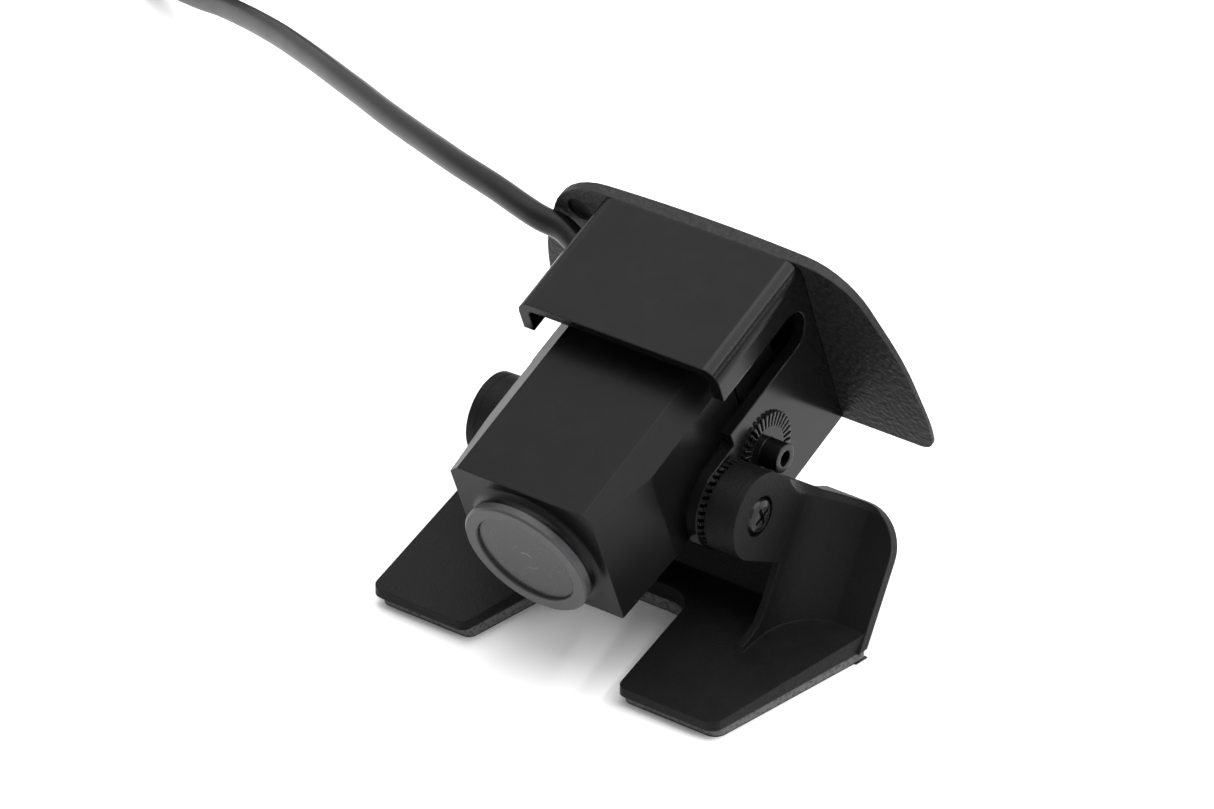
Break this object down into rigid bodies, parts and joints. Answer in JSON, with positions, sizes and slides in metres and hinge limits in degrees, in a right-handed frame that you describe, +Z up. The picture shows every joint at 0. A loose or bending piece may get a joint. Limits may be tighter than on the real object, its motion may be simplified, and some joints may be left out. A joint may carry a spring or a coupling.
{
  "type": "backup camera",
  "caption": "Black backup camera on an adhesive foot bracket, with a tilting hooded shroud, a cover plate behind and a coiled video cable.",
  "frame": {"origin": "underside of the adhesive pad, in the middle of its rear strip", "axes": "+Z up from the surface the pad is stuck to, +X along the tilt axis, -Y the way the lens looks"},
  "size_m": [0.251, 0.1954, 0.0581],
  "materials": {
    "foot_plastic": "fine grain, matt black",
    "foam": "grey-black foam",
    "liner_film": "smooth dark film",
    "shroud_plastic": "satin black",
    "plate_plastic": "leather grain, black",
    "black_screw": "black plated steel",
    "housing_paint": "satin black paint on cast alloy",
    "gasket_rubber": "black rubber",
    "steel_screw": "bright zinc",
    "bezel_metal": "dark grey satin",
    "window": "dark tinted glass",
    "lens_glass": "coated glass",
    "barrel_black": "black anodised",
    "holder_plastic": "black",
    "filter_glass": "red-tinted filter",
    "sensor": "dark sensor package",
    "circuit_board": "green solder mask",
    "brass": "plain brass",
    "chip": "moulded chip package",
    "white_nylon": "natural nylon",
    "wire_cover": "red wire cover",
    "cable_pvc": "satin black cable jacket",
    "connector_plastic": "black nylon"
  },
  "bodies": {
    "foot": {"foot_bracket": "foot_plastic", "foam_pad": "foam", "release_liner": "liner_film", "cable_lead": "cable_pvc", "cable_coil": "cable_pvc", "cable_tail": "cable_pvc", "connector_boot": "gasket_rubber", "connector_body": "connector_plastic", "connector_collar": "connector_plastic", "connector_insert": "connector_plastic", "connector_pins": "brass"},
    "head": {"shroud": "shroud_plastic", "rear_cover_plate": "plate_plastic", "pivot_screws": "black_screw", "plate_screws": "black_screw", "camera_front_shell": "housing_paint", "camera_rear_cover": "housing_paint", "housing_gasket": "gasket_rubber", "housing_screws": "steel_screw", "lens_bezel_ring": "bezel_metal", "window_glass": "window", "window_seal": "gasket_rubber", "lens_barrel": "barrel_black", "front_lens": "lens_glass", "middle_lens": "lens_glass", "rear_lens": "lens_glass", "lens_retainer": "barrel_black", "lens_holder": "holder_plastic", "ir_filter": "filter_glass", "image_sensor": "sensor", "sensor_board": "circuit_board", "board_spacers": "brass", "board_link": "holder_plastic", "processor_board": "circuit_board", "video_chip": "chip", "board_screws": "steel_screw", "wire_socket": "white_nylon", "wire_plug": "white_nylon", "inner_wires": "wire_cover", "cable_gland": "cable_pvc"}
  },
  "joints": [
    {"name": "head_tilt", "type": "hinge", "parent": "foot", "child": "head", "pos_m": [0, -0.00872, 0.02574], "axis": [1, 0, 0], "range_deg": [-30, 20], "deforming": ["cable_lead"]}
  ]
}
